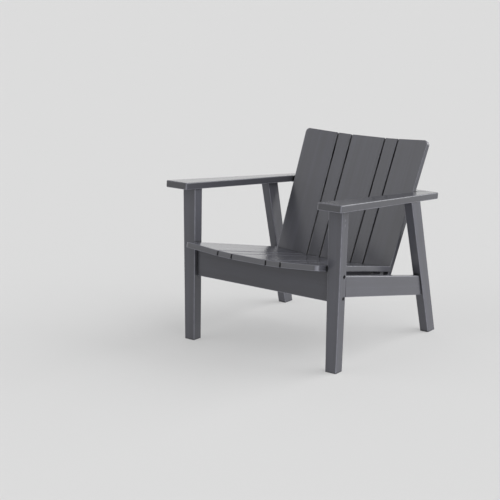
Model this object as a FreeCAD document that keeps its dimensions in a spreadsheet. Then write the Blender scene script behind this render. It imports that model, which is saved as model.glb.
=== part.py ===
import FreeCAD, Part
import math
import os

import Sketcher
from FreeCAD import Placement, Rotation, Vector

# Low slatted garden armchair. Lengths in millimetres, angles in degrees.
# X runs across the chair, Y from the front to the back, Z up. The floor is Z = 0 and
# the origin is below the middle of the chair. "Depth" is measured back from the line through the
# arms and the seat at which their heights hold, a few millimetres behind their front ends.

doc = FreeCAD.newDocument("adirondack_chair")

# ---------------------------------------------------------------- driving dimensions
DIMENSIONS = [
    ("origin_depth", 398.6, "depth of the origin"),
    ("board", 25, "thickness of the frame boards"),
    ("edge_round", 3.5, "rounding of exposed long edges"),
    ("fit_gap", 0.2, "clearance where boards meet"),
    ("fan_gap", 0.8, "clearance behind the slats, which fan out over straight seats"),
    ("arm_height", 600, "height of the arm's top at depth 0"),
    ("arm_slope", 5.26, "fall of the arm towards the back"),
    ("arm_nose", 3.5, "reach of the arm in front of depth 0"),
    ("arm_length", 760, "length along the arm behind depth 0"),
    ("arm_inner", 276.6, "half the distance between the arms"),
    ("arm_front_width", 94.4, "arm width at the front"),
    ("arm_rear_width", 52.4, "arm width at the rear"),
    ("arm_corner", 6, "rounding of the arm's corners in plan"),
    ("leg_front", 55, "depth of the front leg's front face"),
    ("leg_depth", 42, "front leg, front to back"),
    ("leg_blank", 575, "height at which the upper leg sizes hold"),
    ("leg_inner_top", 284, "front leg inner face at the top"),
    ("leg_width_top", 56, "front leg width at the top"),
    ("leg_inner_foot", 287.5, "front leg inner face at the floor"),
    ("leg_width_foot", 44, "front leg width at the floor"),
    ("rear_outer", 347.5, "rear leg outer face at the floor"),
    ("rear_thick", 35, "rear leg thickness across the chair"),
    ("rear_splay", 1.2, "lean of the rear leg towards the middle"),
    ("rear_foot_front", 688.8, "depth of the rear leg's front edge at the floor"),
    ("rear_foot_depth", 53.3, "rear leg, front to back, at the floor"),
    ("rear_rake_front", 16.2, "rake of the rear leg's front face"),
    ("rear_rake_back", 15.1, "rake of the rear leg's back face"),
    ("rail_outer", 335.5, "side rail outer face"),
    ("rail_top", 338.4, "side rail top edge where it meets the front leg"),
    ("rail_height", 74.7, "side rail height, measured upright"),
    ("rail_slope", 11.2, "fall of the side rail"),
    ("slat_thick", 20, "thickness of seat and back slats"),
    ("slat_round", 2.5, "rounding of the slats' edges"),
    ("slat_gap", 6, "gap between slats"),
    ("corner_round", 16, "rounding of the outer slat corners"),
    ("seat_height", 371.9, "seat height at depth 0"),
    ("seat_nose", 4, "reach of the seat in front of depth 0"),
    ("seat_slope", 11.6, "fall of the seat towards the back"),
    ("seat_dish", 14.5, "rise of the seat's sides over its middle"),
    ("seat_centre", 140, "width of the centre seat slat at the front"),
    ("seat_outer", 147, "width of an outer seat slat at the front"),
    ("seat_narrow", 54, "width of a narrow seat slat at the front"),
    ("seat_taper", 0.925, "distance of the seat's gaps from its middle, rear of the blanks over front"),
    ("seat_rear_half", 256.2, "half the seat's width at the rear of the slat blanks"),
    ("back_depth", 526.2, "depth of the back slats' lower ends"),
    ("back_height", 186, "height of the back slats' lower ends"),
    ("back_lean", 26.1, "lean of the back from upright"),
    ("back_length", 583.5, "length of the back slats"),
    ("back_dish", 29, "forward curve of the back's sides"),
    ("back_centre", 144, "width of the centre back slat at the top"),
    ("back_narrow", 54, "width of a narrow back slat at the top"),
    ("back_outer", 135, "width of an outer back slat at the top"),
    ("back_taper", 0.925, "back width at the lower end over its width at the top"),
    ("seat_back_gap", 2, "gap between seat slats and back slats"),
    ("apron_front", 70, "depth of the apron's front face"),
    ("apron_foot", 245, "height of the apron's lower edge"),
    ("cross_depth", 400, "seat crossrail, measured along the seat"),
    ("cross_low", 75, "seat crossrail lower edge below the seat surface"),
    ("cross_shoulder", 14, "seat crossrail shoulder below the seat surface"),
    ("batten_depth", 488, "rear seat batten, measured along the seat"),
    ("batten_low", 62, "rear seat batten lower edge below the seat surface"),
    ("batten_half", 250, "half the rear seat batten's length"),
    ("front_batten", 28, "front seat batten, front to back"),
    ("front_batten_half", 262, "half the front seat batten's length"),
    ("front_batten_low", 300, "front seat batten lower edge"),
    ("lower_rail_start", 12, "back crossrail lower edge, along the back"),
    ("lower_rail_width", 45, "back crossrail width along the back"),
    ("lower_rail_rear", 50, "back crossrail rear face behind the slats' front"),
    ("lower_rail_shoulder", 15, "back crossrail shoulder behind the slats' front"),
    ("lower_rail_half", 248, "half the back crossrail's length between its shoulders"),
    ("upper_batten_start", 480, "upper batten lower edge, along the back"),
    ("upper_batten_width", 60, "upper batten width along the back"),
    ("upper_batten_half", 235, "half the upper batten's length"),
    ("brace_start", 630, "front of the brace blank, along the arm"),
    ("bolt_radius", 4, "M8 bolt shank"),
    ("bolt_head", 6.5, "bolt head radius"),
    ("bolt_head_height", 8, "bolt head height"),
    ("bolt_head_chamfer", 0.8, "chamfer of the bolt head"),
    ("bolt_length", 80, "bolt shank length"),
    ("bolt_point", 1.5, "length of the bolt's chamfered end"),
    ("bolt_point_radius", 2.8, "radius of the bolt's end"),
    ("bolt_socket", 3.4, "bolt's hexagon socket, to its corners"),
    ("bolt_socket_depth", 4, "depth of the bolt's socket"),
    ("nut_radius", 6, "barrel nut radius"),
    ("nut_length", 20, "barrel nut length"),
    ("screw_radius", 2.25, "screw shank"),
    ("screw_head", 4.6, "screw head radius"),
    ("screw_head_height", 3, "screw head height"),
    ("screw_crown", 0.75, "radius of the screw head's flat end over the head's radius"),
    ("screw_rim", 0.6, "height of the screw head's full round over the head's height"),
    ("screw_socket", 2.3, "screw's hexagon socket, to its corners"),
    ("screw_socket_depth", 2, "depth of the screw's socket"),
    ("screw_length", 35, "slat screw shank length"),
    ("screw_point", 4, "length of the screw's point"),
    ("screw_grip", 20, "batten thickness under a slat screw's head"),
    ("short_length", 18, "bracket screw shank length"),
    ("dowel_radius", 6, "arm dowel radius"),
    ("dowel_length", 80, "arm dowel length"),
    ("dowel_in_leg", 65, "arm dowel length inside the leg"),
    ("lock_radius", 3, "lock screw radius"),
    ("lock_length", 14, "lock screw length"),
    ("plug_radius", 5, "plug cap radius"),
    ("plug_length", 3, "plug cap thickness"),
    ("steel", 3, "bracket and plate thickness"),
    ("bracket_leg", 25, "bracket leg length"),
    ("bracket_height", 34, "bracket height"),
    ("hole_gap", 0.15, "clearance around fasteners"),
    ("end_gap", 0.5, "clearance beyond the ends of nuts and dowels"),
    ("drill_over", 1, "depth of a hole beyond the fastener's end"),
]

dims = doc.addObject("Spreadsheet::Sheet", "dims")
for row, (alias, number, note) in enumerate(DIMENSIONS, start=1):
    dims.set(f"A{row}", note)
    dims.set(f"B{row}", str(number))
    dims.setAlias(f"B{row}", alias)
doc.recompute()


def size(alias):
    """The value of one driving dimension."""
    return float(dims.get(alias))


# ---------------------------------------------------------------- derived dimensions
calc = doc.addObject("App::VarSet", "calc")


def derive(name, formula):
    calc.addProperty("App::PropertyFloat", name, "Derived", formula)
    calc.setExpression(name, formula)


# Across the seat and the back, 1, 2 and 3 are the middle of the first gap, the middle of the
# second gap and the outer edge. Each slat is flat and spans two points of a shallow parabola.
derive("seat_1", "dims.seat_centre / 2 + dims.slat_gap / 2")
derive("seat_2", "calc.seat_1 + dims.seat_narrow + dims.slat_gap")
derive("seat_3", "calc.seat_2 + dims.slat_gap / 2 + dims.seat_outer")
derive("back_1", "dims.back_centre / 2 + dims.slat_gap / 2")
derive("back_2", "calc.back_1 + dims.back_narrow + dims.slat_gap")
derive("back_3", "calc.back_2 + dims.slat_gap / 2 + dims.back_outer")
for panel in ("seat", "back"):
    for point in ("1", "2", "3"):
        derive(
            f"{panel}_rise_{point}",
            f"dims.{panel}_dish * (calc.{panel}_{point} / calc.{panel}_3) ^ 2",
        )
    derive(f"{panel}_tilt_1", "0")
    for start, end in (("1", "2"), ("2", "3")):
        derive(
            f"{panel}_tilt_{end}",
            f"atan((calc.{panel}_rise_{end} - calc.{panel}_rise_{start})"
            f" / (calc.{panel}_{end} - calc.{panel}_{start})) / 1deg",
        )
derive("fan_step", "dims.slat_thick + dims.fan_gap")
derive("rail_inner", "dims.rail_outer - dims.board")
derive("cross_half", "calc.rail_inner - dims.fit_gap")
derive("leg_back", "dims.leg_front + dims.leg_depth")
derive("leg_draft", "(dims.leg_inner_foot - dims.leg_inner_top) / dims.leg_blank")
derive("rail_fall", "tan(dims.rail_slope * 1deg)")
derive("rear_fall", "tan(dims.rear_rake_front * 1deg)")
for edge, lift in (("top", "0"), ("foot", "dims.rail_height")):
    derive(
        f"rail_end_{edge}",
        "(dims.rear_foot_front - dims.fit_gap - calc.rear_fall"
        f" * (dims.rail_top - {lift} + calc.rail_fall * calc.leg_back))"
        " / (1 - calc.rear_fall * calc.rail_fall)",
    )
doc.recompute()


def world(across, depth, height, turn=Rotation()):
    """A place given by its distance across, its depth and its height."""
    return Placement(Vector(across, depth - size("origin_depth"), height), turn)


def about_x(angle):
    return Rotation(Vector(1, 0, 0), angle)


def about_y(angle):
    return Rotation(Vector(0, 1, 0), angle)


def about_z(angle):
    return Rotation(Vector(0, 0, 1), angle)


def shift(across=0, along=0, up=0, turn=Rotation()):
    return Placement(Vector(across, along, up), turn)


# In each frame local Y runs along the boards and local Z is square to their show face.
ARM = world(0, 0, size("arm_height"), about_x(-size("arm_slope")))
SEAT = world(0, 0, size("seat_height"), about_x(-size("seat_slope")))
BACK = world(0, size("back_depth"), size("back_height"), about_x(90 - size("back_lean")))
SIDES = (("left", -1), ("right", 1))


# ---------------------------------------------------------------- modelling helpers
def sketch_on(body, role, name):
    sketch = body.newObject("Sketcher::SketchObject", name)
    plane = next(f for f in body.Origin.OriginFeatures if f.Role == role)
    sketch.AttachmentSupport = (plane, "")
    sketch.MapMode = "FlatFace"
    return sketch


def polygon(sketch, corners):
    """A closed outline whose corners are pairs of formulas."""
    count = len(corners)
    ring = [
        Vector(math.cos(2 * math.pi * i / count), math.sin(2 * math.pi * i / count), 0)
        for i in range(count)
    ]
    for i in range(count):
        sketch.addGeometry(Part.LineSegment(ring[i], ring[(i + 1) % count]), False)
    for i in range(count):
        sketch.addConstraint(Sketcher.Constraint("Coincident", i, 2, (i + 1) % count, 1))
    for i, corner in enumerate(corners):
        for kind, formula in zip(("DistanceX", "DistanceY"), corner):
            index = sketch.addConstraint(Sketcher.Constraint(kind, -1, 1, i, 1, 1.0))
            sketch.setExpression(f"Constraints[{index}]", formula)


def long_edges(shape, least):
    """Names of the straight edges at least this long."""
    return [f"Edge{i}" for i, edge in enumerate(shape.Edges, start=1) if edge.Length >= least]


def rim_edges(shape, axis):
    """Names of the edges that lie in the two flat faces square to an axis (0, 1 or 2)."""
    low = [shape.BoundBox.XMin, shape.BoundBox.YMin, shape.BoundBox.ZMin][axis]
    high = [shape.BoundBox.XMax, shape.BoundBox.YMax, shape.BoundBox.ZMax][axis]
    names = []
    for i, edge in enumerate(shape.Edges, start=1):
        places = [edge.valueAt(edge.FirstParameter)[axis], edge.valueAt(edge.LastParameter)[axis]]
        for level in (low, high):
            if all(abs(place - level) < 1e-4 for place in places):
                names.append(f"Edge{i}")
    return names


def edges_at(shape, points):
    """Names of the straight edges that pass through any of the points."""
    names = []
    for i, edge in enumerate(shape.Edges, start=1):
        if any(edge.distToShape(Part.Vertex(point))[0] < 1e-3 for point in points):
            names.append(f"Edge{i}")
    return names


def fillet(body, edges, radius):
    base = body.Tip
    rounding = body.newObject("PartDesign::Fillet", "Rounding")
    rounding.Base = (base, edges)
    rounding.setExpression("Radius", radius)
    body.Tip = rounding
    doc.recompute()
    return rounding


def board(name, role, corners, thickness, place, reverse=False):
    """A flat board: an outline on one of the body's own planes, padded by its thickness."""
    body = doc.addObject("PartDesign::Body", name + "_blank")
    sketch = sketch_on(body, role, name + "_outline")
    polygon(sketch, corners)
    pad = body.newObject("PartDesign::Pad", name + "_pad")
    pad.Profile = sketch
    pad.setExpression("Length", thickness)
    pad.Reversed = reverse
    body.Placement = place
    doc.recompute()
    return body


def turned(name, profile):
    """A round piece about its own Z axis: pairs of formulas for radius and height."""
    body = doc.addObject("PartDesign::Body", name)
    sketch = sketch_on(body, "XZ_Plane", name + "_profile")
    polygon(sketch, profile)
    revolution = body.newObject("PartDesign::Revolution", name + "_turned")
    revolution.Profile = sketch
    revolution.ReferenceAxis = (sketch, ["V_Axis"])
    revolution.Angle = 360
    doc.recompute()
    return body


def group(name, master, places):
    """Copies of one piece, each a separate solid."""
    copies = []
    for place in places:
        copy = doc.addObject("App::Link", name + "_copy")
        copy.LinkedObject = master
        copy.Placement = place
        copies.append(copy)
    compound = doc.addObject("Part::Compound", name)
    compound.Links = copies
    doc.recompute()
    return compound


def carve(name, piece, tools):
    """Cuts the tools out of a piece one after another."""
    for tool in tools:
        cut = doc.addObject("Part::Cut", name + "_cut")
        cut.Base = piece
        cut.Tool = tool
        piece = cut
    doc.recompute()
    return piece


NODES = {}


def keep(name, piece):
    """Hands a finished piece to the assembly under its own label."""
    piece.Label = name
    NODES[name] = piece


# ---------------------------------------------------------------- trimming spaces
REACH = 80
SPACE_TOP = 300
SPACE_START = 60
SPACE_LENGTH = 900


def dished_line(panel, drop, half_width):
    """Corners of the parabola's chords from one side to the other, lowered by a formula."""
    points = []
    for sign, order in (("-", ("3", "2", "1")), ("", ("1", "2", "3"))):
        for point in order:
            points.append(
                (f"{sign}calc.{panel}_{point}", f"calc.{panel}_rise_{point} - ({drop})")
            )
    left = (f"-({half_width})", points[0][1])
    right = (f"{half_width}", points[-1][1])
    return [left] + points + [right]


def panel_space(name, panel, frame, drop, far):
    """All the room on one side of a panel: above it for a positive far, behind it otherwise."""
    half = f"calc.{panel}_3 + {REACH}"
    corners = dished_line(panel, drop, half)
    corners += [(half, str(far)), (f"-({half})", str(far))]
    return board(
        name, "XZ_Plane", corners, str(SPACE_LENGTH), frame * shift(along=-SPACE_START), reverse=True
    )


over_seat = panel_space("over_seat", "seat", SEAT, "calc.fan_step", SPACE_TOP)
before_back = panel_space("before_back", "back", BACK, "calc.fan_step", SPACE_TOP)
behind_front = panel_space("behind_front", "back", BACK, "-dims.seat_back_gap", -SPACE_TOP)


def block(name, place, across, along, up):
    box = doc.addObject("Part::Box", name)
    box.Length = across
    box.Width = along
    box.Height = up
    box.Placement = place
    return box


BLOCK = 1000
above_arm_underside = block(
    "above_arm_underside",
    ARM * shift(-BLOCK / 2, -REACH, -size("board")),
    BLOCK,
    BLOCK,
    SPACE_TOP,
)
under_floor = block("under_floor", world(-BLOCK / 2, -REACH, -REACH), BLOCK, BLOCK, REACH)

# ---------------------------------------------------------------- fasteners
def screw_profile(length):
    """A screw with a domed head below local Z = 0 and its shank above."""
    return [
        ("0", "-dims.screw_head_height"),
        ("dims.screw_head * dims.screw_crown", "-dims.screw_head_height"),
        ("dims.screw_head", "-dims.screw_head_height * dims.screw_rim"),
        ("dims.screw_head", "0"),
        ("dims.screw_radius", "0"),
        ("dims.screw_radius", f"{length} - dims.screw_point"),
        ("0", length),
    ]


def bolt_hole(head, shank, length, recess):
    """A drilled hole with a wider recess for the head."""
    return [
        ("0", f"-{recess}"),
        (f"{head} + dims.hole_gap * 2", f"-{recess}"),
        (f"{head} + dims.hole_gap * 2", "0"),
        (f"{shank} + dims.hole_gap", "0"),
        (f"{shank} + dims.hole_gap", length),
        ("0", length),
    ]


# The recesses run out past the outer faces of the boards.
SCREW_RECESS = 60
BOLT_RECESS = 40
slat_screw = turned("slat_screw", screw_profile("dims.screw_length"))
short_screw = turned("short_screw", screw_profile("dims.short_length"))
slat_screw_drill = turned(
    "slat_screw_drill",
    bolt_hole(
        "dims.screw_head", "dims.screw_radius", "dims.screw_length + dims.drill_over", SCREW_RECESS
    ),
)
short_screw_drill = turned(
    "short_screw_drill",
    [
        ("0", "0"),
        ("dims.screw_radius + dims.hole_gap", "0"),
        ("dims.screw_radius + dims.hole_gap", "dims.short_length + dims.drill_over"),
        ("0", "dims.short_length + dims.drill_over"),
    ],
)
bolt = turned(
    "bolt",
    [
        ("0", "-dims.bolt_head_height"),
        ("dims.bolt_head - dims.bolt_head_chamfer", "-dims.bolt_head_height"),
        ("dims.bolt_head", "-dims.bolt_head_height + dims.bolt_head_chamfer"),
        ("dims.bolt_head", "0"),
        ("dims.bolt_radius", "0"),
        ("dims.bolt_radius", "dims.bolt_length - dims.bolt_point"),
        ("dims.bolt_point_radius", "dims.bolt_length"),
        ("0", "dims.bolt_length"),
    ],
)


def cut_socket(body, radius, head_height, depth):
    """A hexagon socket in the end of a head that stands below local Z = 0."""
    outline = sketch_on(body, "XY_Plane", "socket_outline")
    turns = [60 * i for i in range(6)]
    polygon(outline, [(f"{radius} * cos({turn}deg)", f"{radius} * sin({turn}deg)") for turn in turns])
    outline.setExpression(".AttachmentOffset.Base.z", f"-({head_height})")
    pocket = body.newObject("PartDesign::Pocket", "socket_cut")
    pocket.Profile = outline
    pocket.setExpression("Length", depth)
    pocket.Reversed = True
    doc.recompute()


cut_socket(bolt, "dims.bolt_socket", "dims.bolt_head_height", "dims.bolt_socket_depth")
for screw in (slat_screw, short_screw):
    cut_socket(screw, "dims.screw_socket", "dims.screw_head_height", "dims.screw_socket_depth")

bolt_drill = turned(
    "bolt_drill",
    bolt_hole(
        "dims.bolt_head", "dims.bolt_radius", "dims.bolt_length + dims.drill_over * 2", BOLT_RECESS
    ),
)


def rod(name, radius, start, end):
    return turned(name, [("0", start), (radius, start), (radius, end), ("0", end)])


nut_blank = rod("nut_blank", "dims.nut_radius", "-dims.nut_length / 2", "dims.nut_length / 2")
nut_bore = rod("nut_bore", "dims.bolt_radius + dims.hole_gap / 3", "-dims.nut_length", "dims.nut_length")
nut_bore.Placement = shift(turn=about_y(90))
barrel_nut = carve("barrel_nut", nut_blank, [nut_bore])
nut_drill = rod(
    "nut_drill",
    "dims.nut_radius + dims.hole_gap",
    "-dims.nut_length / 2 - dims.end_gap",
    "dims.nut_length",
)
dowel = rod("dowel", "dims.dowel_radius", "-dims.dowel_in_leg", "dims.dowel_length - dims.dowel_in_leg")
dowel_drill = rod(
    "dowel_drill",
    "dims.dowel_radius + dims.hole_gap",
    "-dims.dowel_in_leg - dims.end_gap * 2",
    "dims.dowel_length - dims.dowel_in_leg + dims.end_gap",
)
lock_screw = rod("lock_screw", "dims.lock_radius", "0", "dims.lock_length")
DRILL_RUN = 20
lock_drill = rod(
    "lock_drill", "dims.lock_radius + dims.hole_gap", "0", f"dims.lock_length + {DRILL_RUN}"
)
plug = rod("plug", "dims.plug_radius", "0", "dims.plug_length")
plug_drill = rod(
    "plug_drill",
    "dims.plug_radius + dims.hole_gap",
    "-dims.hole_gap * 2",
    f"dims.plug_length + {DRILL_RUN}",
)

# An angle bracket: one leg along -X with its back on Y = 0, the other along Y with its back on X = 0.
bracket = board(
    "bracket",
    "XY_Plane",
    [
        ("0", "0"),
        ("0", "dims.bracket_leg"),
        ("-dims.steel", "dims.bracket_leg"),
        ("-dims.steel", "dims.steel"),
        ("-dims.bracket_leg", "dims.steel"),
        ("-dims.bracket_leg", "0"),
    ],
    "dims.bracket_height",
    shift(),
)
BRACKET_SCREW_ALONG = 0.6
BRACKET_SCREW_UP = (0.25, 0.75)
BRACKET_SCREWS = []
for share in BRACKET_SCREW_UP:
    height = size("bracket_height") * share
    middle = size("bracket_leg") * BRACKET_SCREW_ALONG
    BRACKET_SCREWS.append(shift(-middle, size("steel"), height, about_x(90)))
    BRACKET_SCREWS.append(shift(-size("steel"), middle, height, about_y(90)))


# ---------------------------------------------------------------- fastener places
def slat_frame(panel, frame, slat, sign):
    """A slat's own frame: its inner chord point, tilted with the chord."""
    if slat == 1:
        return frame * shift(up=getattr(calc, f"{panel}_rise_1"))
    start = getattr(calc, f"{panel}_{slat - 1}")
    rise = getattr(calc, f"{panel}_rise_{slat - 1}")
    tilt = getattr(calc, f"{panel}_tilt_{slat}")
    return frame * shift(sign * start, 0, rise, about_y(-sign * tilt))


# Distances of the screws from the middle of the centre slat, or from the gap inside another slat.
SCREWS_ACROSS = {1: (-45, 45), 2: (30,), 3: (32, 104)}


def screw_offsets(panel, slat, scale):
    """Distances of the screws from the slat's chord point."""
    start = 0 if slat == 1 else getattr(calc, f"{panel}_{slat - 1}")
    return [(start + across) * scale - start for across in SCREWS_ACROSS[slat]]


def slat_screw_places(panel, frame, rows):
    """Screws driven square through a batten into the back of every slat, row by row."""
    places = []
    head = -size("slat_thick") - size("screw_grip")
    for along, scale in rows:
        for slat, sign in ((1, 1), (2, -1), (2, 1), (3, -1), (3, 1)):
            own = slat_frame(panel, frame, slat, sign)
            for offset in screw_offsets(panel, slat, scale):
                across = offset if slat == 1 else sign * offset
                places.append(own * shift(across, along, head))
    return places


SEAT_BLANK = 600


def seat_scale(along):
    """Distance of the seat's gaps from its middle, over their distance at the front."""
    return 1 - (1 - size("seat_taper")) * along / SEAT_BLANK


def back_scale(along):
    """Width of the back at a height along it, over its width at the top."""
    return size("back_taper") + (1 - size("back_taper")) * along / size("back_length")


FRONT_ROW = 118
BRACE_ROW = 381
seat_rows = [
    (along, seat_scale(along))
    for along in (
        FRONT_ROW,
        size("cross_depth") + size("board") / 2,
        size("batten_depth") + size("board") / 2,
    )
]
back_rows = [
    (along, back_scale(along))
    for along in (
        size("lower_rail_start") + size("lower_rail_width") / 2,
        BRACE_ROW,
        size("upper_batten_start") + size("upper_batten_width") / 2,
    )
]
seat_screw_places = slat_screw_places("seat", SEAT, seat_rows)
back_screw_places = slat_screw_places("back", BACK, back_rows)

BATTEN_SCREW_ACROSS = (-200, -75, 75, 200)
BATTEN_SCREW_UP = size("front_batten_low") + 14
apron_back = size("apron_front") + size("board")
batten_screw_places = [
    world(across, apron_back + size("screw_grip"), BATTEN_SCREW_UP, about_x(90))
    for across in BATTEN_SCREW_ACROSS
]

APRON_BOLT_DEPTH = 82.5
APRON_BOLT_HEIGHTS = (261.5, 338)
APRON_BOLT_SEAT = 327
APRON_NUT_ACROSS = 262
apron_bolt_places = []
apron_nut_places = []
for side, sign in SIDES:
    for height in APRON_BOLT_HEIGHTS:
        apron_bolt_places.append(
            world(sign * APRON_BOLT_SEAT, APRON_BOLT_DEPTH, height, about_y(-90 * sign))
        )
        apron_nut_places.append(
            world(sign * APRON_NUT_ACROSS, APRON_BOLT_DEPTH, height, about_x(-90))
        )

RAIL_BOLT_HEIGHTS = (182, 218)
RAIL_BOLT_RECESS = 12
RAIL_NUT_INSET = 22
rail_middle = (calc.rail_inner + size("rail_outer")) / 2
rail_bolt_places = []
rail_nut_places = []
for side, sign in SIDES:
    for height in RAIL_BOLT_HEIGHTS:
        rear_face = (
            size("rear_foot_front")
            + size("rear_foot_depth")
            - math.tan(math.radians(size("rear_rake_back"))) * height
        )
        front_face = size("rear_foot_front") - calc.rear_fall * height
        rail_bolt_places.append(
            world(sign * rail_middle, rear_face - RAIL_BOLT_RECESS, height, about_x(90))
        )
        nut_turn = about_z(90).multiply(about_x(-90 * sign))
        rail_nut_places.append(
            world(sign * rail_middle, front_face - RAIL_NUT_INSET, height, nut_turn)
        )

DOWELS = ((312, 76), (319, 573))
PLUG_HEIGHTS = (517, 534)
dowel_places = []
lock_places = []
plug_places = []
for side, sign in SIDES:
    for across, depth in DOWELS:
        along_arm = depth / math.cos(math.radians(size("arm_slope")))
        underside = ARM.multVec(Vector(0, along_arm, -size("board")))
        dowel_places.append(world(sign * across, depth, underside.z))
    leg_across, leg_depth = DOWELS[0]
    for height in PLUG_HEIGHTS:
        inner = size("leg_inner_foot") - calc.leg_draft * height
        width = size("leg_width_foot") + (
            (size("leg_width_top") - size("leg_width_foot")) * height / size("leg_blank")
        )
        face = inner + width
        lock_start = leg_across + size("dowel_radius") + size("fit_gap")
        lock_places.append(world(sign * lock_start, leg_depth, height, about_y(90 * sign)))
        plug_start = face - size("plug_length") - size("fit_gap")
        plug_places.append(world(sign * plug_start, leg_depth, height, about_y(90 * sign)))


def bracket_place(frame, corner, sign, turn=Rotation()):
    """A bracket in the corner between a cross board and the inner face of a side rail."""
    across, along, up = corner
    mirror = about_z(0) if sign > 0 else about_z(-90)
    return frame * shift(sign * across, along, up, turn.multiply(mirror))


RAIL_BRACKET_HEIGHT = 300
SEAT_BRACKET_DROP = 48
half_bracket = size("bracket_height") / 2
seat_bracket_foot = -SEAT_BRACKET_DROP - half_bracket
back_middle = size("lower_rail_start") + size("lower_rail_width") / 2
rail_bracket_places = []
seat_bracket_places = []
back_bracket_places = []
for side, sign in SIDES:
    front_corner = (calc.rail_inner, calc.leg_back, RAIL_BRACKET_HEIGHT - half_bracket)
    rail_bracket_places.append(bracket_place(world(0, 0, 0), front_corner, sign))
    seat_corner = (calc.rail_inner, size("cross_depth") + size("board"), seat_bracket_foot)
    seat_bracket_places.append(bracket_place(SEAT, seat_corner, sign))
    back_corner = (calc.rail_inner, back_middle - half_bracket, -size("lower_rail_rear"))
    back_bracket_places.append(bracket_place(BACK, back_corner, sign, about_x(-90)))
bracket_screw_places = [
    place * offset
    for place in rail_bracket_places + seat_bracket_places + back_bracket_places
    for offset in BRACKET_SCREWS
]

PLATE_ALONG = 700
PLATE_WIDTH = 30
PLATE_INNER = 245
PLATE_LENGTH = 70
PLATE_SCREWS_ACROSS = (255, 270, 290, 305)
plate_places = []
plate_screw_places = []
for side, sign in SIDES:
    start = PLATE_INNER if sign > 0 else -PLATE_INNER - PLATE_LENGTH
    underside = -size("board") - size("steel")
    plate_places.append(ARM * shift(start, PLATE_ALONG, underside))
    for across in PLATE_SCREWS_ACROSS:
        plate_middle = shift(sign * across, PLATE_ALONG + PLATE_WIDTH / 2, underside)
        plate_screw_places.append(ARM * plate_middle)

# Tools that drill the matching holes.
seat_drills = group("seat_screw_holes", slat_screw_drill, seat_screw_places)
back_drills = group("back_screw_holes", slat_screw_drill, back_screw_places)
batten_drills = group("batten_screw_holes", slat_screw_drill, batten_screw_places)
bracket_drills = group("bracket_screw_holes", short_screw_drill, bracket_screw_places)
plate_drills = group("plate_screw_holes", short_screw_drill, plate_screw_places)
apron_bolt_drills = group("apron_bolt_holes", bolt_drill, apron_bolt_places)
apron_nut_drills = group("apron_nut_holes", nut_drill, apron_nut_places)
rail_bolt_drills = group("rail_bolt_holes", bolt_drill, rail_bolt_places)
rail_nut_drills = group("rail_nut_holes", nut_drill, rail_nut_places)
dowel_drills = group("dowel_holes", dowel_drill, dowel_places)
lock_drills = group("lock_screw_holes", lock_drill, lock_places)
plug_drills = group("plug_holes", plug_drill, plug_places)

# ---------------------------------------------------------------- side frames
# Edges are picked by their length or by a point this far below the show face, and the rear
# leg's blank runs past the floor and the arm before it is trimmed to them.
EDGE_DEPTH = 10
REAR_LEG_LOW = "-20"
REAR_LEG_HIGH = "600"
LEG_EDGE_LEAST = 400
RAIL_EDGE_LEAST = 200

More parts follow.
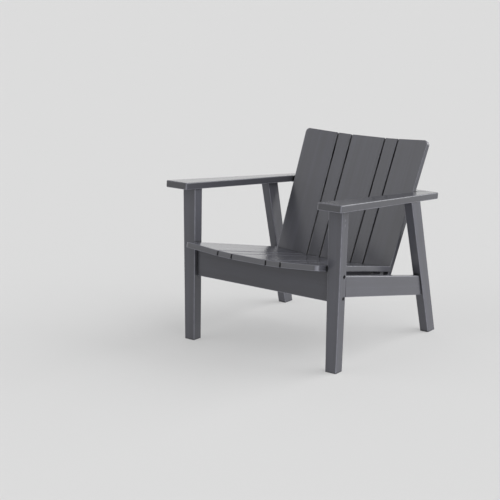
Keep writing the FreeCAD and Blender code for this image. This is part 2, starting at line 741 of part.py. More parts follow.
for side, sign in SIDES:
    # Arm: straight inner edge, outer edge running in towards the back.
    name = f"arm_{side}"
    arm = board(
        name,
        "XY_Plane",
        [
            (f"{sign} * dims.arm_inner", "-dims.arm_nose"),
            (f"{sign} * (dims.arm_inner + dims.arm_front_width)", "-dims.arm_nose"),
            (f"{sign} * (dims.arm_inner + dims.arm_rear_width)", "dims.arm_length"),
            (f"{sign} * dims.arm_inner", "dims.arm_length"),
        ],
        "dims.board",
        ARM,
        reverse=True,
    )
    front_outer = sign * (size("arm_inner") + size("arm_front_width"))
    rear_outer = sign * (size("arm_inner") + size("arm_rear_width"))
    corners = [
        Vector(sign * size("arm_inner"), -size("arm_nose"), -EDGE_DEPTH),
        Vector(front_outer, -size("arm_nose"), -EDGE_DEPTH),
        Vector(rear_outer, size("arm_length"), -EDGE_DEPTH),
    ]
    fillet(arm, edges_at(arm.Tip.Shape, corners), "dims.arm_corner")
    fillet(arm, rim_edges(arm.Tip.Shape, 2), "dims.edge_round")
    keep(name, carve(name, arm, [dowel_drills, plate_drills]))

    # Front leg: upright post, tapered across towards the foot.
    name = f"front_leg_{side}"
    front_leg = board(
        name,
        "XZ_Plane",
        [
            (f"{sign} * dims.leg_inner_foot", "0"),
            (f"{sign} * (dims.leg_inner_foot + dims.leg_width_foot)", "0"),
            (f"{sign} * (dims.leg_inner_top + dims.leg_width_top)", "dims.leg_blank"),
            (f"{sign} * dims.leg_inner_top", "dims.leg_blank"),
        ],
        "dims.leg_depth",
        world(0, size("leg_front"), 0),
        reverse=True,
    )
    fillet(front_leg, long_edges(front_leg.Tip.Shape, LEG_EDGE_LEAST), "dims.edge_round")
    tools = [
        above_arm_underside,
        dowel_drills,
        lock_drills,
        plug_drills,
        apron_bolt_drills,
        bracket_drills,
    ]
    keep(name, carve(name, front_leg, tools))

    # Rear leg: raked back to the floor and leaning in slightly towards the top.
    name = f"rear_leg_{side}"
    front_edge = "dims.rear_foot_front - tan(dims.rear_rake_front * 1deg) * ({})"
    back_edge = "dims.rear_foot_front + dims.rear_foot_depth - tan(dims.rear_rake_back * 1deg) * ({})"
    rear_leg = board(
        name,
        "YZ_Plane",
        [
            (front_edge.format(REAR_LEG_LOW), REAR_LEG_LOW),
            (back_edge.format(REAR_LEG_LOW), REAR_LEG_LOW),
            (back_edge.format(REAR_LEG_HIGH), REAR_LEG_HIGH),
            (front_edge.format(REAR_LEG_HIGH), REAR_LEG_HIGH),
        ],
        "dims.rear_thick",
        world(sign * size("rear_outer"), 0, 0, about_y(-sign * size("rear_splay"))),
        reverse=sign > 0,
    )
    fillet(rear_leg, long_edges(rear_leg.Tip.Shape, LEG_EDGE_LEAST), "dims.edge_round")
    tools = [above_arm_underside, under_floor, dowel_drills, rail_bolt_drills]
    keep(name, carve(name, rear_leg, tools))

    # Side rail: from the front leg's back face down to the rear leg's front face.
    name = f"side_rail_{side}"
    front_foot = "dims.rail_top - dims.rail_height"
    rail = board(
        name,
        "YZ_Plane",
        [
            ("calc.leg_back", front_foot),
            (
                "calc.rail_end_foot",
                f"{front_foot} - calc.rail_fall * (calc.rail_end_foot - calc.leg_back)",
            ),
            (
                "calc.rail_end_top",
                "dims.rail_top - calc.rail_fall * (calc.rail_end_top - calc.leg_back)",
            ),
            ("calc.leg_back", "dims.rail_top"),
        ],
        "dims.board",
        world(sign * calc.rail_inner, 0, 0),
        reverse=sign < 0,
    )
    fillet(rail, long_edges(rail.Tip.Shape, RAIL_EDGE_LEAST), "dims.edge_round")
    keep(name, carve(name, rail, [bracket_drills, rail_bolt_drills, rail_nut_drills]))

# ---------------------------------------------------------------- cross boards
# Apron between the front legs, its top cut to the slats' undersides.
apron_half = "dims.leg_inner_foot - calc.leg_draft * {} - dims.fit_gap"
APRON_BLANK_TOP = "360"
apron = board(
    "front_apron",
    "XZ_Plane",
    [
        ("-(" + apron_half.format("dims.apron_foot") + ")", "dims.apron_foot"),
        (apron_half.format("dims.apron_foot"), "dims.apron_foot"),
        (apron_half.format(APRON_BLANK_TOP), APRON_BLANK_TOP),
        ("-(" + apron_half.format(APRON_BLANK_TOP) + ")", APRON_BLANK_TOP),
    ],
    "dims.board",
    world(0, size("apron_front"), 0),
    reverse=True,
)
apron_low = [
    Vector(0, 0, size("apron_foot")),
    Vector(0, size("board"), size("apron_foot")),
]
fillet(apron, edges_at(apron.Tip.Shape, apron_low), "dims.edge_round")
keep(
    "front_apron",
    carve("front_apron", apron, [over_seat, apron_bolt_drills, apron_nut_drills, batten_drills]),
)

front_batten = board(
    "front_seat_batten",
    "XZ_Plane",
    [
        ("-dims.front_batten_half", "dims.front_batten_low"),
        ("dims.front_batten_half", "dims.front_batten_low"),
        ("dims.front_batten_half", APRON_BLANK_TOP),
        ("-dims.front_batten_half", APRON_BLANK_TOP),
    ],
    "dims.front_batten",
    world(0, apron_back + size("fit_gap"), 0),
    reverse=True,
)
keep(
    "front_seat_batten",
    carve("front_seat_batten", front_batten, [over_seat, seat_drills, batten_drills]),
)

# Seat crossrail: carries the seat between the side rails, its shoulders inside the seat's width.
seat_cross = board(
    "seat_crossrail",
    "XZ_Plane",
    [
        ("-calc.cross_half", "-dims.cross_low"),
        ("calc.cross_half", "-dims.cross_low"),
        ("calc.cross_half", "-dims.cross_shoulder"),
        ("dims.seat_rear_half", "-dims.cross_shoulder"),
        ("dims.seat_rear_half", "0"),
        ("-dims.seat_rear_half", "0"),
        ("-dims.seat_rear_half", "-dims.cross_shoulder"),
        ("-calc.cross_half", "-dims.cross_shoulder"),
    ],
    "dims.board",
    SEAT * shift(along=size("cross_depth")),
    reverse=True,
)
keep("seat_crossrail", carve("seat_crossrail", seat_cross, [over_seat, seat_drills, bracket_drills]))

rear_batten = board(
    "rear_seat_batten",
    "XZ_Plane",
    [
        ("-dims.batten_half", "-dims.batten_low"),
        ("dims.batten_half", "-dims.batten_low"),
        ("dims.batten_half", "0"),
        ("-dims.batten_half", "0"),
    ],
    "dims.board",
    SEAT * shift(along=size("batten_depth")),
    reverse=True,
)
keep("rear_seat_batten", carve("rear_seat_batten", rear_batten, [over_seat, seat_drills]))

# Back crossrail: holds the slats' lower ends between the side rails. Its blank and the upper
# batten's stand in front of the slats' backs before they are trimmed to them.
LOWER_RAIL_BLANK = "20"
UPPER_BATTEN_BLANK = "30"
back_cross = board(
    "back_crossrail",
    "XZ_Plane",
    [
        ("-calc.cross_half", "-dims.lower_rail_rear"),
        ("calc.cross_half", "-dims.lower_rail_rear"),
        ("calc.cross_half", "-dims.lower_rail_shoulder"),
        ("dims.lower_rail_half", "-dims.lower_rail_shoulder"),
        ("dims.lower_rail_half", LOWER_RAIL_BLANK),
        ("-dims.lower_rail_half", LOWER_RAIL_BLANK),
        ("-dims.lower_rail_half", "-dims.lower_rail_shoulder"),
        ("-calc.cross_half", "-dims.lower_rail_shoulder"),
    ],
    "dims.lower_rail_width",
    BACK * shift(along=size("lower_rail_start")),
    reverse=True,
)
keep("back_crossrail", carve("back_crossrail", back_cross, [before_back, back_drills, bracket_drills]))

# Upper batten: a dished strip behind the slats.
strip = dished_line("back", "calc.fan_step + dims.board", "dims.upper_batten_half")
edge_level = (
    "calc.back_rise_2 + (dims.upper_batten_half - calc.back_2)"
    " * (calc.back_rise_3 - calc.back_rise_2) / (calc.back_3 - calc.back_2)"
    " - calc.fan_step - dims.board"
)
strip_corners = [("-dims.upper_batten_half", edge_level)] + strip[2:-2]
strip_corners += [
    ("dims.upper_batten_half", edge_level),
    ("dims.upper_batten_half", UPPER_BATTEN_BLANK),
    ("-dims.upper_batten_half", UPPER_BATTEN_BLANK),
]
upper_batten = board(
    "upper_back_batten",
    "XZ_Plane",
    strip_corners,
    "dims.upper_batten_width",
    BACK * shift(along=size("upper_batten_start")),
    reverse=True,
)
keep("upper_back_batten", carve("upper_back_batten", upper_batten, [before_back, back_drills]))

# Brace behind the back, level with the arms.
brace = board(
    "arm_brace",
    "XY_Plane",
    [
        ("-dims.arm_inner + dims.fit_gap", "dims.brace_start"),
        ("dims.arm_inner - dims.fit_gap", "dims.brace_start"),
        ("dims.arm_inner - dims.fit_gap", "dims.arm_length"),
        ("-dims.arm_inner + dims.fit_gap", "dims.arm_length"),
    ],
    "dims.board",
    ARM,
    reverse=True,
)
brace_rear = [
    Vector(0, size("arm_length"), 0),
    Vector(0, size("arm_length"), -size("board")),
]
fillet(brace, edges_at(brace.Tip.Shape, brace_rear), "dims.edge_round")
keep("arm_brace", carve("arm_brace", brace, [before_back, back_drills, plate_drills]))

# ---------------------------------------------------------------- slats
SLATS = (
    ("centre", 1, 1),
    ("inner_left", 2, -1),
    ("inner_right", 2, 1),
    ("outer_left", 3, -1),
    ("outer_right", 3, 1),
)


def slat_edges(panel, slat, sign, scale):
    """Formulas for a slat's two edges, measured from its chord point, at a width scale."""
    if slat == 1:
        half = f"(calc.{panel}_1 * {scale} - dims.slat_gap / 2)"
        return "-" + half, half
    start = f"calc.{panel}_{slat - 1}"
    slope = f"cos(calc.{panel}_tilt_{slat} * 1deg)"
    inner = f"({start} * {scale} + dims.slat_gap / 2 - {start}) / {slope}"
    margin = "dims.slat_gap / 2" if slat == 2 else "0"
    outer = f"(calc.{panel}_{slat} * {scale} - {margin} - {start}) / {slope}"
    return f"{sign} * {inner}", f"{sign} * {outer}"


for label, slat, sign in SLATS:
    name = f"seat_slat_{label}"
    near, far = slat_edges("seat", slat, sign, "1")
    rear_near, rear_far = slat_edges("seat", slat, sign, "dims.seat_taper")
    if slat == 3:
        lean = "cos(calc.seat_tilt_3 * 1deg)"
        rear_far = f"{sign} * (dims.seat_rear_half - calc.seat_2) / {lean}"
    seat_slat = board(
        name,
        "XY_Plane",
        [
            (near, "-dims.seat_nose"),
            (far, "-dims.seat_nose"),
            (rear_far, str(SEAT_BLANK)),
            (rear_near, str(SEAT_BLANK)),
        ],
        "dims.slat_thick",
        slat_frame("seat", SEAT, slat, sign),
        reverse=True,
    )
    if slat == 3:
        box = seat_slat.Tip.Shape.BoundBox
        outer_corner = Vector(
            box.XMax if sign > 0 else box.XMin, -size("seat_nose"), -EDGE_DEPTH
        )
        fillet(seat_slat, edges_at(seat_slat.Tip.Shape, [outer_corner]), "dims.corner_round")
    fillet(seat_slat, rim_edges(seat_slat.Tip.Shape, 2), "dims.slat_round")
    keep(name, carve(name, seat_slat, [behind_front, seat_drills]))

    name = f"back_slat_{label}"
    low_near, low_far = slat_edges("back", slat, sign, "dims.back_taper")
    near, far = slat_edges("back", slat, sign, "1")
    back_slat = board(
        name,
        "XY_Plane",
        [
            (low_near, "0"),
            (low_far, "0"),
            (far, "dims.back_length"),
            (near, "dims.back_length"),
        ],
        "dims.slat_thick",
        slat_frame("back", BACK, slat, sign),
        reverse=True,
    )
    if slat == 3:
        box = back_slat.Tip.Shape.BoundBox
        outer_corner = Vector(box.XMax if sign > 0 else box.XMin, size("back_length"), -EDGE_DEPTH)
        fillet(back_slat, edges_at(back_slat.Tip.Shape, [outer_corner]), "dims.corner_round")
    fillet(back_slat, rim_edges(back_slat.Tip.Shape, 2), "dims.slat_round")
    keep(name, carve(name, back_slat, [back_drills]))

# ---------------------------------------------------------------- hardware groups
keep("apron_bolts", group("apron_bolts", bolt, apron_bolt_places))
keep("apron_barrel_nuts", group("apron_barrel_nuts", barrel_nut, apron_nut_places))
keep("rail_bolts", group("rail_bolts", bolt, rail_bolt_places))
keep("rail_barrel_nuts", group("rail_barrel_nuts", barrel_nut, rail_nut_places))
keep("arm_dowels", group("arm_dowels", dowel, dowel_places))
keep("arm_lock_screws", group("arm_lock_screws", lock_screw, lock_places))
keep("leg_plug_caps", group("leg_plug_caps", plug, plug_places))
keep("seat_slat_screws", group("seat_slat_screws", slat_screw, seat_screw_places))
keep("back_slat_screws", group("back_slat_screws", slat_screw, back_screw_places))
keep("apron_batten_screws", group("apron_batten_screws", slat_screw, batten_screw_places))
keep("bracket_screws", group("bracket_screws", short_screw, bracket_screw_places))
keep("brace_plate_screws", group("brace_plate_screws", short_screw, plate_screw_places))
for name, places in (
    ("rail_brackets", rail_bracket_places),
    ("seat_crossrail_brackets", seat_bracket_places),
    ("back_crossrail_brackets", back_bracket_places),
):
    keep(name, carve(name, group(name + "_plain", bracket, places), [bracket_drills]))
plate = block("plate", shift(), PLATE_LENGTH, PLATE_WIDTH, size("steel"))
keep("brace_plates", carve("brace_plates", group("plates_plain", plate, plate_places), [plate_drills]))

# ---------------------------------------------------------------- checks and export
doc.recompute()
for item in doc.Objects:
    if "Invalid" in item.State or "Error" in item.State:
        raise RuntimeError(f"{item.Name} failed: {item.State}")
for name, piece in NODES.items():
    shape = piece.Shape
    if shape.isNull() or not shape.isValid() or not shape.Solids:
        raise RuntimeError(f"{name} has no valid solid")

os.makedirs("parts", exist_ok=True)
whole = None
for name, piece in NODES.items():
    piece.Shape.exportStep(f"parts/{name}.step")
    box = piece.Shape.BoundBox
    if whole is None:
        whole = FreeCAD.BoundBox(box)
    else:
        whole.add(box)
    print(f"{name}: {len(piece.Shape.Solids)} solid(s), {piece.Shape.Volume / 1000:.1f} cm3")
print("overall", whole)
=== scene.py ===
import math

import bpy
from mathutils import Matrix, Vector

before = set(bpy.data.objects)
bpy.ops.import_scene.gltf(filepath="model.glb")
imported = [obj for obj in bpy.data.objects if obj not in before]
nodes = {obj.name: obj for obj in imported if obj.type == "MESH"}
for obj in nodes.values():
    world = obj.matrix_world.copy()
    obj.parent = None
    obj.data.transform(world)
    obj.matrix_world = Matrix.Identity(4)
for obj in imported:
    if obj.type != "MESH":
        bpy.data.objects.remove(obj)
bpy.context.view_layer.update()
scene = bpy.context.scene

# ---------------------------------------------------------------- angles of the boards, in degrees
ARM_SLOPE = 5.26
SEAT_SLOPE = 11.6
BACK_LEAN = 26.1
REAR_RAKE = 15.6
REAR_SPLAY = 1.2
RAIL_SLOPE = 11.2
FAN = {"centre": 0.0, "inner": 0.6, "outer": 1.2}
SEAT_TILT = {"centre": 0.0, "inner": 2.2, "outer": 4.4}
BACK_TILT = {"centre": 0.0, "inner": 4.6, "outer": 9.0}

# ---------------------------------------------------------------- node helpers
SHADER_SAMPLES = 4
COOL_RED = 0.01
COOL_BLUE = 0.17


class Graph:
    """Short calls for building a material's node tree."""

    def __init__(self, name):
        self.material = bpy.data.materials.new(name)
        self.material.use_nodes = True
        self.tree = self.material.node_tree
        self.tree.nodes.clear()
        self.shader = self.add("ShaderNodeBsdfPrincipled")
        output = self.add("ShaderNodeOutputMaterial")
        self.link(self.shader.outputs["BSDF"], output.inputs["Surface"])

    def add(self, kind, **settings):
        node = self.tree.nodes.new(kind)
        for key, value in settings.items():
            setattr(node, key, value)
        return node

    def link(self, source, target):
        self.tree.links.new(source, target)

    def feed(self, socket, value):
        if isinstance(value, bpy.types.NodeSocket):
            self.link(value, socket)
        else:
            socket.default_value = value

    def math(self, operation, first, second=0.0, clamp=False):
        node = self.add("ShaderNodeMath", operation=operation, use_clamp=clamp)
        self.feed(node.inputs[0], first)
        self.feed(node.inputs[1], second)
        return node.outputs[0]

    def plus(self, first, second, clamp=False):
        return self.math("ADD", first, second, clamp)

    def times(self, first, second, clamp=False):
        return self.math("MULTIPLY", first, second, clamp)

    def ramp(self, value, span, result=(0.0, 1.0)):
        """A smooth step across a span of values; the span may run downwards."""
        node = self.add("ShaderNodeMapRange", interpolation_type="SMOOTHSTEP")
        self.feed(node.inputs["Value"], value)
        node.inputs["From Min"].default_value = span[0]
        node.inputs["From Max"].default_value = span[1]
        node.inputs["To Min"].default_value = result[0]
        node.inputs["To Max"].default_value = result[1]
        return node.outputs["Result"]

    def noise(self, vector, scale, detail, rough):
        node = self.add("ShaderNodeTexNoise")
        self.link(vector, node.inputs["Vector"])
        node.inputs["Scale"].default_value = scale
        node.inputs["Detail"].default_value = detail
        node.inputs["Roughness"].default_value = rough
        return node.outputs["Fac"]

    def mapping(self, vector, scale=(1, 1, 1), offset=(0, 0, 0), turn=(0, 0, 0)):
        node = self.add("ShaderNodeMapping")
        self.link(vector, node.inputs["Vector"])
        node.inputs["Location"].default_value = offset
        node.inputs["Rotation"].default_value = turn
        node.inputs["Scale"].default_value = scale
        return node.outputs["Vector"]

    def blend(self, first, second, amount):
        node = self.add("ShaderNodeMix", data_type="RGBA")
        self.feed(node.inputs["Factor"], amount)
        self.feed(node.inputs["A"], first)
        self.feed(node.inputs["B"], second)
        return node.outputs["Result"]

    def bump(self, height, depth, strength, normal=None):
        node = self.add("ShaderNodeBump")
        self.link(height, node.inputs["Height"])
        node.inputs["Distance"].default_value = depth
        node.inputs["Strength"].default_value = strength
        if normal is not None:
            self.link(normal, node.inputs["Normal"])
        return node.outputs["Normal"]

    def split(self, vector):
        node = self.add("ShaderNodeSeparateXYZ")
        self.link(vector, node.inputs[0])
        return node.outputs

    def rounded_normal(self, radius):
        """The normal with a small rounding added along edges."""
        node = self.add("ShaderNodeBevel", samples=SHADER_SAMPLES)
        node.inputs["Radius"].default_value = radius
        return node.outputs["Normal"]


def grey(level, cool=1.0):
    """A grey; cool sets how far it leans to blue."""
    return (level * (1 - COOL_RED * cool), level, level * (1 + COOL_BLUE * cool), 1.0)


# ---------------------------------------------------------------- board plastic
BOARD_BASE = 0.085
BOARD_ROUGH = 0.16
BOARD_IOR = 1.5

# Noise layers: scale, detail and roughness.
STREAKS = (38.0, 3.0, 0.6)
FIBRES = (420.0, 4.0, 0.65)
CLOUDS = (5.5, 3.0, 0.5)
PORES = (1500.0, 2.0, 0.5)
PATCHES = (45.0, 4.0, 0.7)
SAW_MARKS = (900.0, 2.0, 0.6)
SCUFFS = (26.0, 5.0, 0.7)

# Layers that are drawn out in one direction have a small scale in it.
ALONG_FIBRES = (1.0, 0.035, 1.0)
ALONG_STREAKS = (1.0, 0.012, 1.0)
ALONG_SCUFFS = (1.0, 0.25, 1.0)
ACROSS_SAW = (0.08, 1.0, 1.0)

# Each board's seed moves its pattern: the step for each seed, and where it wraps.
SEED_STEPS = (1.37, 2.11, 0.73)
SEED_SPANS = (7.0, 5.0, 3.0)

# Colour: shares of the layers, and the darkest and palest tone with its coolness.
STREAK_SHARE, CLOUD_SHARE, FIBRE_SHARE = 0.55, 0.25, 0.20
MIX_SPAN = (0.30, 0.72)
DARK_TONE, DARK_COOL = 0.92, 0.8
PALE_TONE, PALE_COOL = 1.08, 1.1

# Edges: squareness is 1 on a flat face and falls on a rounded corner. Rounded edges get a painted
# highlight mixed with patchy wear, strongest where they face down, a painted reflection of the
# floor.
CORNER_SPAN = (0.98, 0.90)
PATCH_SPAN, PATCH_EDGE_GAIN = (0.30, 0.75), (0.5, 1.0)
FACING_SPAN, FACING_HIGHLIGHT = (0.6, -0.4), (0.55, 1.5)
EDGE_WEAR_AND_HIGHLIGHT_TONE, EDGE_WEAR_AND_HIGHLIGHT_SHARE = 3.2, 0.7

# Sawn ends.
END_SPAN = (0.93, 0.99)
END_TONE, END_COOL, END_SHARE = 0.88, 0.6, 0.6

# Painted shade in the slots between boards: colour darkened where the surface is occluded.
SLOT_REACH = 0.012
SLOT_SPAN = (0.80, 0.48)
SLOT_SHADE_LEVEL, SLOT_SHADE_SHARE = 0.006, 0.95

# Roughness added by each layer.
SCUFF_SPAN = (0.60, 0.72)
STREAK_ROUGH = 0.08
SCUFF_ROUGH = 0.03
WEAR_ROUGH = 0.05
END_ROUGH = 0.16
SLOT_ROUGH = 0.70

# Relief: depth in metres, and strength.
BOARD_EDGE_RADIUS = 0.0015
FIBRE_RELIEF = (0.00005, 0.7)
STREAK_RELIEF = (0.00010, 0.4)
PORE_RELIEF = (0.00003, 0.4)
SAW_RELIEF = (0.00030, 0.7)


def board_material(name, turn, seed, tone):
    """Recycled-plastic board: grain along local Y, faint streaks, scuffed edges with a painted
    highlight, sawn ends, painted shade in the slots.

    turn is the rotation that takes local Y to the board's long direction.
    """
    g = Graph(name)
    place = g.add("ShaderNodeTexCoord").outputs["Object"]
    unturn = tuple(turn.inverted().to_euler("XYZ"))
    local = g.mapping(place, turn=unturn)
    shift = tuple(seed * step % span for step, span in zip(SEED_STEPS, SEED_SPANS))
    spread = g.mapping(local, offset=shift)

    broad = g.noise(g.mapping(local, scale=ALONG_STREAKS, offset=shift), *STREAKS)
    fine = g.noise(g.mapping(local, scale=ALONG_FIBRES, offset=shift), *FIBRES)
    cloud = g.noise(spread, *CLOUDS)
    pores = g.noise(spread, *PORES)

    # Colour: slow clouds, long streaks, fine fibre.
    mix = g.plus(g.times(broad, STREAK_SHARE), g.times(cloud, CLOUD_SHARE))
    mix = g.plus(mix, g.times(fine, FIBRE_SHARE))
    dark = grey(BOARD_BASE * tone * DARK_TONE, DARK_COOL)
    pale = grey(BOARD_BASE * tone * PALE_TONE, PALE_COOL)
    colour = g.blend(dark, pale, g.ramp(mix, MIX_SPAN))

    # Edges: rounded corners are square to none of the board's axes. They are painted paler, in
    # patches, partly as wear and partly as a painted highlight, and more so where they face down,
    # a painted reflection of the bright floor.
    true_normal = g.add("ShaderNodeNewGeometry").outputs["True Normal"]
    own_normal = g.split(g.mapping(true_normal, turn=unturn))
    squareness = [g.math("ABSOLUTE", own_normal[axis]) for axis in "XYZ"]
    flat = g.math("MAXIMUM", g.math("MAXIMUM", squareness[0], squareness[1]), squareness[2])
    patchy = g.ramp(g.noise(spread, *PATCHES), PATCH_SPAN, PATCH_EDGE_GAIN)
    facing = g.ramp(g.split(true_normal)["Z"], FACING_SPAN, FACING_HIGHLIGHT)
    pale_edges = g.times(g.times(g.ramp(flat, CORNER_SPAN), patchy), facing, clamp=True)
    colour = g.blend(colour, grey(BOARD_BASE * EDGE_WEAR_AND_HIGHLIGHT_TONE), g.times(pale_edges, EDGE_WEAR_AND_HIGHLIGHT_SHARE))

    # Sawn ends: square to the board's length, duller and faintly scored.
    end = g.ramp(squareness[1], END_SPAN)
    saw = g.noise(g.mapping(local, scale=ACROSS_SAW, offset=shift), *SAW_MARKS)
    end_colour = grey(BOARD_BASE * tone * END_TONE, END_COOL)
    colour = g.blend(colour, end_colour, g.times(end, END_SHARE))

    # Painted shade: colour darkened in the slots between boards, where ambient occlusion finds
    # them hemmed in.
    shelter = g.add("ShaderNodeAmbientOcclusion", samples=SHADER_SAMPLES)
    shelter.inputs["Distance"].default_value = SLOT_REACH
    slot_shade = g.ramp(shelter.outputs["AO"], SLOT_SPAN)
    colour = g.blend(colour, grey(SLOT_SHADE_LEVEL, 0.0), g.times(slot_shade, SLOT_SHADE_SHARE))
    g.link(colour, g.shader.inputs["Base Color"])

    # Roughness: satin, with duller streaks, scuffs, worn edges, ends and slots.
    scuff = g.noise(g.mapping(local, scale=ALONG_SCUFFS, offset=shift), *SCUFFS)
    rough = g.plus(g.times(broad, STREAK_ROUGH), BOARD_ROUGH)
    rough = g.plus(rough, g.times(g.ramp(scuff, SCUFF_SPAN), SCUFF_ROUGH))
    rough = g.plus(rough, g.times(pale_edges, WEAR_ROUGH))
    rough = g.plus(rough, g.times(end, END_ROUGH))
    rough = g.plus(rough, g.times(slot_shade, SLOT_ROUGH), clamp=True)
    g.link(rough, g.shader.inputs["Roughness"])
    g.shader.inputs["IOR"].default_value = BOARD_IOR

    # Relief: planed grain a few hundredths of a millimetre deep, pores, saw marks on the ends.
    normal = g.bump(fine, *FIBRE_RELIEF, g.rounded_normal(BOARD_EDGE_RADIUS))
    normal = g.bump(broad, *STREAK_RELIEF, normal)
    normal = g.bump(pores, *PORE_RELIEF, normal)
    normal = g.bump(g.times(saw, end), *SAW_RELIEF, normal)
    g.link(normal, g.shader.inputs["Normal"])
    return g.material


# ---------------------------------------------------------------- metal
METAL_PATCHES = (90.0, 4.0, 0.6)
METAL_SPECKS = (3.0, 0.7)
METAL_SEED_STEPS = (1.0, 0.5, 0.25)
METAL_PATCH_SPAN = (0.3, 0.7)
METAL_DARK, METAL_PALE = 0.75, 1.25
METAL_EDGE_RADIUS = 0.0006
METAL_EDGE_SPAN = (0.995, 0.85)
METAL_WORN_TONE, METAL_WORN_LIFT, METAL_WORN_SHARE = 2.4, 0.05, 0.7
METAL_ROUGH_SPREAD = 0.22
METAL_RELIEF = (0.00006, 0.6)


def metal_material(name, base, metallic, rough, grain, seed):
    """Screws, bolts and brackets: speckled, a little patchy, rubbed bright at the edges."""
    g = Graph(name)
    place = g.add("ShaderNodeTexCoord").outputs["Object"]
    spread = g.mapping(place, offset=tuple(seed * step for step in METAL_SEED_STEPS))
    patch = g.noise(spread, *METAL_PATCHES)
    speck = g.noise(spread, grain, *METAL_SPECKS)
    tone = g.ramp(patch, METAL_PATCH_SPAN)
    colour = g.blend(grey(base * METAL_DARK), grey(base * METAL_PALE), tone)
    facing = g.add("ShaderNodeVectorMath", operation="DOT_PRODUCT")
    g.link(g.rounded_normal(METAL_EDGE_RADIUS), facing.inputs[0])
    g.link(g.add("ShaderNodeNewGeometry").outputs["True Normal"], facing.inputs[1])
    pale_edges = g.times(g.ramp(facing.outputs["Value"], METAL_EDGE_SPAN), patch)
    worn = grey(min(1.0, base * METAL_WORN_TONE + METAL_WORN_LIFT))
    colour = g.blend(colour, worn, g.times(pale_edges, METAL_WORN_SHARE))
    g.link(colour, g.shader.inputs["Base Color"])
    g.shader.inputs["Metallic"].default_value = metallic
    roughness = g.plus(g.times(speck, METAL_ROUGH_SPREAD), rough - METAL_ROUGH_SPREAD / 2)
    g.link(roughness, g.shader.inputs["Roughness"])
    g.link(g.bump(speck, *METAL_RELIEF), g.shader.inputs["Normal"])
    return g.material


# ---------------------------------------------------------------- looks of the pieces
def rotation(angle, axis):
    return Matrix.Rotation(math.radians(angle), 3, axis)


def board_turn(name):
    """Rotation whose local Y runs along a board and whose X and Z are square to its faces."""
    sign = -1 if "left" in name else 1
    seat = rotation(-SEAT_SLOPE, "X")
    back = rotation(90 - BACK_LEAN, "X")
    arm = rotation(-ARM_SLOPE, "X")
    sideways = rotation(-90, "Z")
    if name in ("seat_crossrail", "rear_seat_batten"):
        return seat @ sideways
    if name in ("back_crossrail", "upper_back_batten"):
        return back @ sideways
    if name == "arm_brace":
        return arm @ sideways
    if name in ("front_apron", "front_seat_batten"):
        return sideways
    if name.startswith("arm_"):
        return arm
    if name.startswith("front_leg"):
        return rotation(90, "X")
    if name.startswith("rear_leg"):
        return rotation(-sign * REAR_SPLAY, "Y") @ rotation(90 + REAR_RAKE, "X")
    if name.startswith("side_rail"):
        return rotation(-RAIL_SLOPE, "X")
    slat = name.split("_")[2]
    if name.startswith("seat_slat"):
        return seat @ rotation(-sign * SEAT_TILT[slat], "Y")
    return back @ rotation(-sign * BACK_TILT[slat], "Y") @ rotation(-sign * FAN[slat], "Z")


HARDWARE = ("bolts", "nuts", "screws", "brackets", "plates", "dowels", "caps")
BOARDS = sorted(name for name in nodes if not name.endswith(HARDWARE))
TONES = (1.0, 0.98, 1.03, 0.99, 1.02, 0.97, 1.01)
# The front apron is darkened as painted shade; the arms are simply set darker in tone.
DARKER_TONE_AND_SHADE = {"front_apron": 0.78, "arm_left": 0.70, "arm_right": 0.70}
SMALL_SEED = 41
SMALL_TONE = 1.35

# Metals: base colour, metallic, roughness, scale of the speckle, seed.
bolt_finish = metal_material("bolt_steel", 0.030, 0.9, 0.42, 900.0, 3.0)
bracket_finish = metal_material("bracket_steel", 0.035, 0.0, 0.55, 700.0, 5.0)
screw_finish = metal_material("screw_steel", 0.46, 1.0, 0.34, 1200.0, 7.0)
small_plastic = board_material("small_plastic", rotation(90, "Y"), SMALL_SEED, SMALL_TONE)

for node in nodes.values():
    name = node.name
    if name in BOARDS:
        place = BOARDS.index(name)
        tone = TONES[place % len(TONES)] * DARKER_TONE_AND_SHADE.get(name, 1.0)
        finish = board_material("board_" + name, board_turn(name), place + 1, tone)
    elif name.endswith(("bolts", "nuts")):
        finish = bolt_finish
    elif name.endswith(("brackets", "plates")):
        finish = bracket_finish
    elif name.endswith("screws"):
        finish = screw_finish
    else:
        finish = small_plastic
    node.data.materials.clear()
    node.data.materials.append(finish)

# ---------------------------------------------------------------- floor
FLOOR_HALF = 60.0
FLOOR_DROP = 0.0005
FLOOR_BASE = 0.30
FLOOR_GLOW = 0.37
FLOOR_ROUGH = 0.95
WHITE = (1.0, 1.0, 1.0, 1)

floor_corners = [
    (across * FLOOR_HALF, along * FLOOR_HALF, 0)
    for across, along in ((-1, -1), (1, -1), (1, 1), (-1, 1))
]
floor_mesh = bpy.data.meshes.new("floor")
floor_mesh.from_pydata(floor_corners, [], [(0, 1, 2, 3)])
floor = bpy.data.objects.new("floor", floor_mesh)
floor.location.z = -FLOOR_DROP
scene.collection.objects.link(floor)
floor_finish = bpy.data.materials.new("floor")
floor_finish.use_nodes = True
floor_shader = floor_finish.node_tree.nodes["Principled BSDF"]
floor_shader.inputs["Base Color"].default_value = (FLOOR_BASE, FLOOR_BASE, FLOOR_BASE, 1)
floor_shader.inputs["Roughness"].default_value = FLOOR_ROUGH
floor_shader.inputs["Specular IOR Level"].default_value = 0.0
floor_shader.inputs["Emission Color"].default_value = WHITE
floor_shader.inputs["Emission Strength"].default_value = FLOOR_GLOW
floor_mesh.materials.append(floor_finish)

# ---------------------------------------------------------------- light
# The studio's wall looks as bright as the floor and dims upwards to its ceiling.
BACKDROP = 0.70
CEILING = 0.31
WALL_TOP, CEILING_FROM = 0.05, 0.45
SUN_SPREAD = 60
SUN_DISTANCE = 4.0

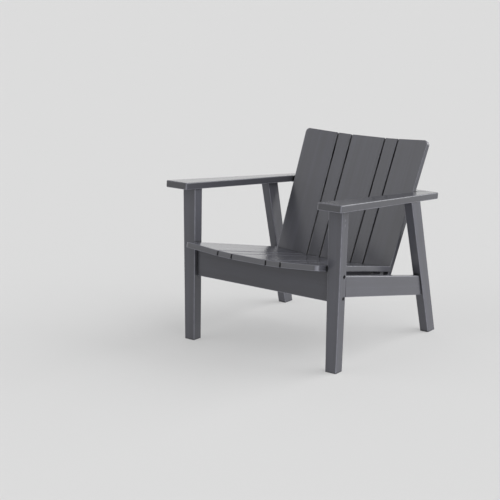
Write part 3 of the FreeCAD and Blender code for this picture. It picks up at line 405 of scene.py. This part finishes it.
world = bpy.data.worlds.new("studio")
world.use_nodes = True
scene.world = world
background = world.node_tree.nodes["Background"]
background.inputs["Color"].default_value = WHITE
world_nodes, world_links = world.node_tree.nodes, world.node_tree.links
outward = world_nodes.new("ShaderNodeSeparateXYZ")
direction = world_nodes.new("ShaderNodeTexCoord").outputs["Generated"]
world_links.new(direction, outward.inputs[0])
sweep = world_nodes.new("ShaderNodeMapRange")
sweep.inputs["From Min"].default_value = WALL_TOP
sweep.inputs["From Max"].default_value = CEILING_FROM
sweep.inputs["To Min"].default_value = BACKDROP
sweep.inputs["To Max"].default_value = CEILING
world_links.new(outward.outputs["Z"], sweep.inputs["Value"])
world_links.new(sweep.outputs["Result"], background.inputs["Strength"])


def soft_sun(name, azimuth, elevation, strength):
    """Even light from one side: azimuth runs from the front (0) round to the right (90)."""
    data = bpy.data.lights.new(name, "SUN")
    data.angle = math.radians(SUN_SPREAD)
    data.energy = strength
    lamp = bpy.data.objects.new(name, data)
    turn, lift = math.radians(azimuth), math.radians(elevation)
    level = math.cos(lift)
    towards = Vector((math.sin(turn) * level, -math.cos(turn) * level, math.sin(lift)))
    lamp.location = towards * SUN_DISTANCE
    lamp.rotation_mode = "QUATERNION"
    lamp.rotation_quaternion = towards.to_track_quat("Z", "Y")
    scene.collection.objects.link(lamp)


# Name, azimuth, elevation and strength.
SUNS = (
    ("front_left_light", -45, 25, 0.87),
    ("right_light", 80, 20, 0.85),
    ("right_high_light", 100, 55, 0.75),
    ("rear_right_light", 140, 25, 2.60),
    ("rear_left_light", -140, 30, 0.35),
)
for sun in SUNS:
    soft_sun(*sun)

# ---------------------------------------------------------------- camera
CAMERA_AT = (2.4351, -3.7518, 1.3793)
AZIMUTH, ELEVATION, ROLL = 35.953, 13.336, 0.751
FOCAL_PIXELS = 1230.6
IMAGE_SIDE = 500
SENSOR = 36.0
CLIP_NEAR, CLIP_FAR = 0.1, 200.0

a, e, r = (math.radians(v) for v in (AZIMUTH, ELEVATION, ROLL))
ahead = Vector((-math.sin(a) * math.cos(e), math.cos(a) * math.cos(e), -math.sin(e)))
right = Vector((math.cos(a), math.sin(a), 0))
up = right.cross(ahead)
image_right = right * math.cos(r) + up * math.sin(r)
image_up = up * math.cos(r) - right * math.sin(r)
camera_data = bpy.data.cameras.new("camera")
camera_data.sensor_width = SENSOR
camera_data.lens = FOCAL_PIXELS * SENSOR / IMAGE_SIDE
camera_data.clip_start = CLIP_NEAR
camera_data.clip_end = CLIP_FAR
camera = bpy.data.objects.new("camera", camera_data)
camera_turn = Matrix((image_right, image_up, -ahead)).transposed().to_4x4()
camera.matrix_world = Matrix.Translation(CAMERA_AT) @ camera_turn
scene.collection.objects.link(camera)
scene.camera = camera

scene.view_settings.view_transform = "Standard"
scene.view_settings.look = "None"
